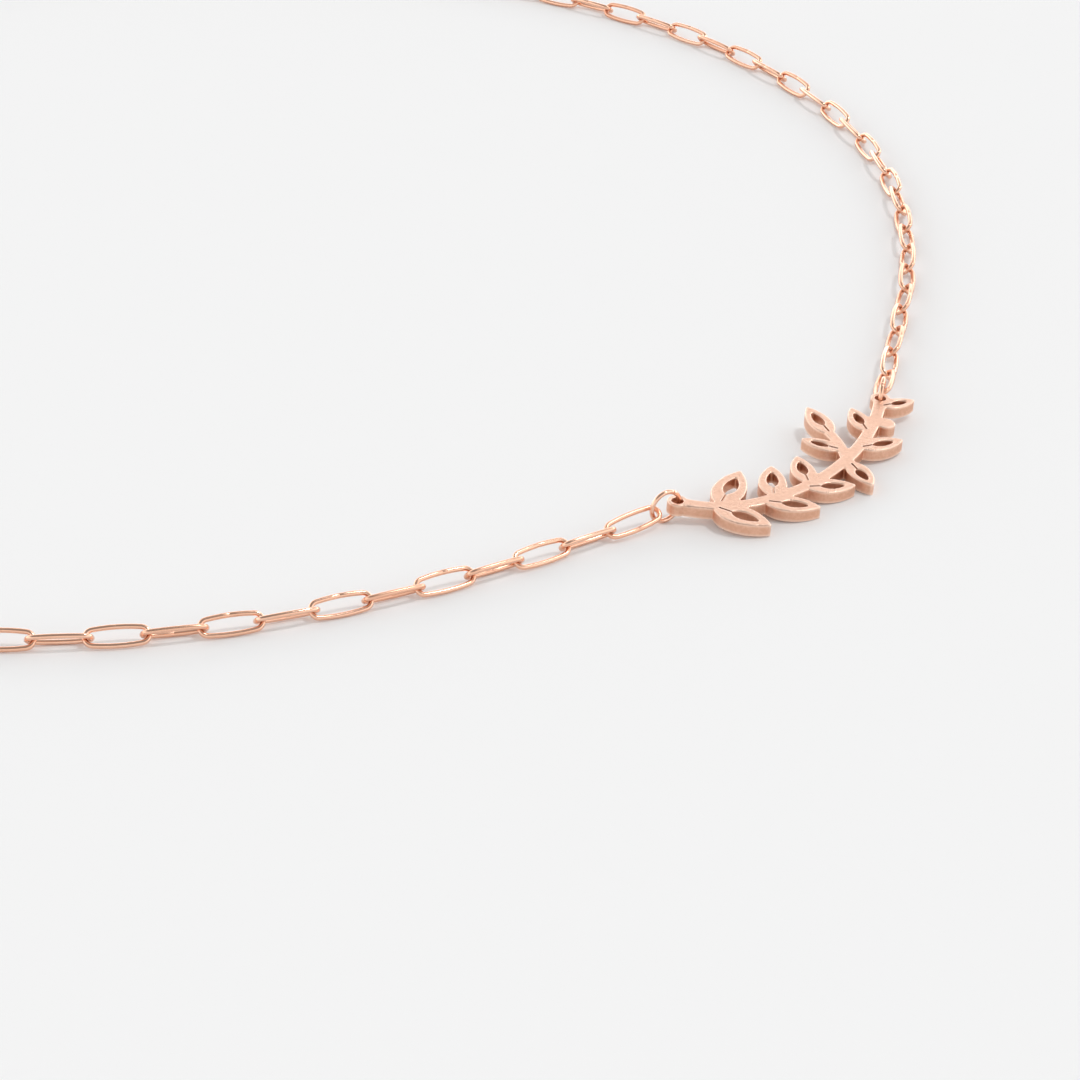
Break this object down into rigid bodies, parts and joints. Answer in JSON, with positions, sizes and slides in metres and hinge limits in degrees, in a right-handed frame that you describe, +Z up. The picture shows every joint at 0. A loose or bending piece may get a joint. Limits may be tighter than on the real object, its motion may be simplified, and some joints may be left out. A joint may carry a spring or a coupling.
{
  "type": "nameplate necklace",
  "caption": "Fine paperclip-link chain necklace, closed by a plain spring ring, with an openwork leaf-branch plate held between two jump rings at the front.",
  "frame": {"origin": "on the table, under the middle of the necklace's bounding box", "axes": "+X along the plate from its left eyelet to its right one, +Y from the plate into the loop towards the clasp, +Z up from the table"},
  "size_m": [0.1519, 0.1556, 0.0031],
  "materials": {
    "plate_metal": "rose gold plating, satin front with small polished edges and finely striated cut walls",
    "chain_metal": "rose gold plating, soft polish on drawn wire",
    "clasp_metal": "rose gold plating, polished"
  },
  "bodies": {
    "root": {"nameplate": "plate_metal", "jump_ring_left": "chain_metal", "jump_ring_right": "chain_metal", "chain_left": "chain_metal", "chain_right": "chain_metal", "clasp": "clasp_metal", "clasp_ring": "chain_metal", "end_ring": "chain_metal"}
  },
  "joints": []
}
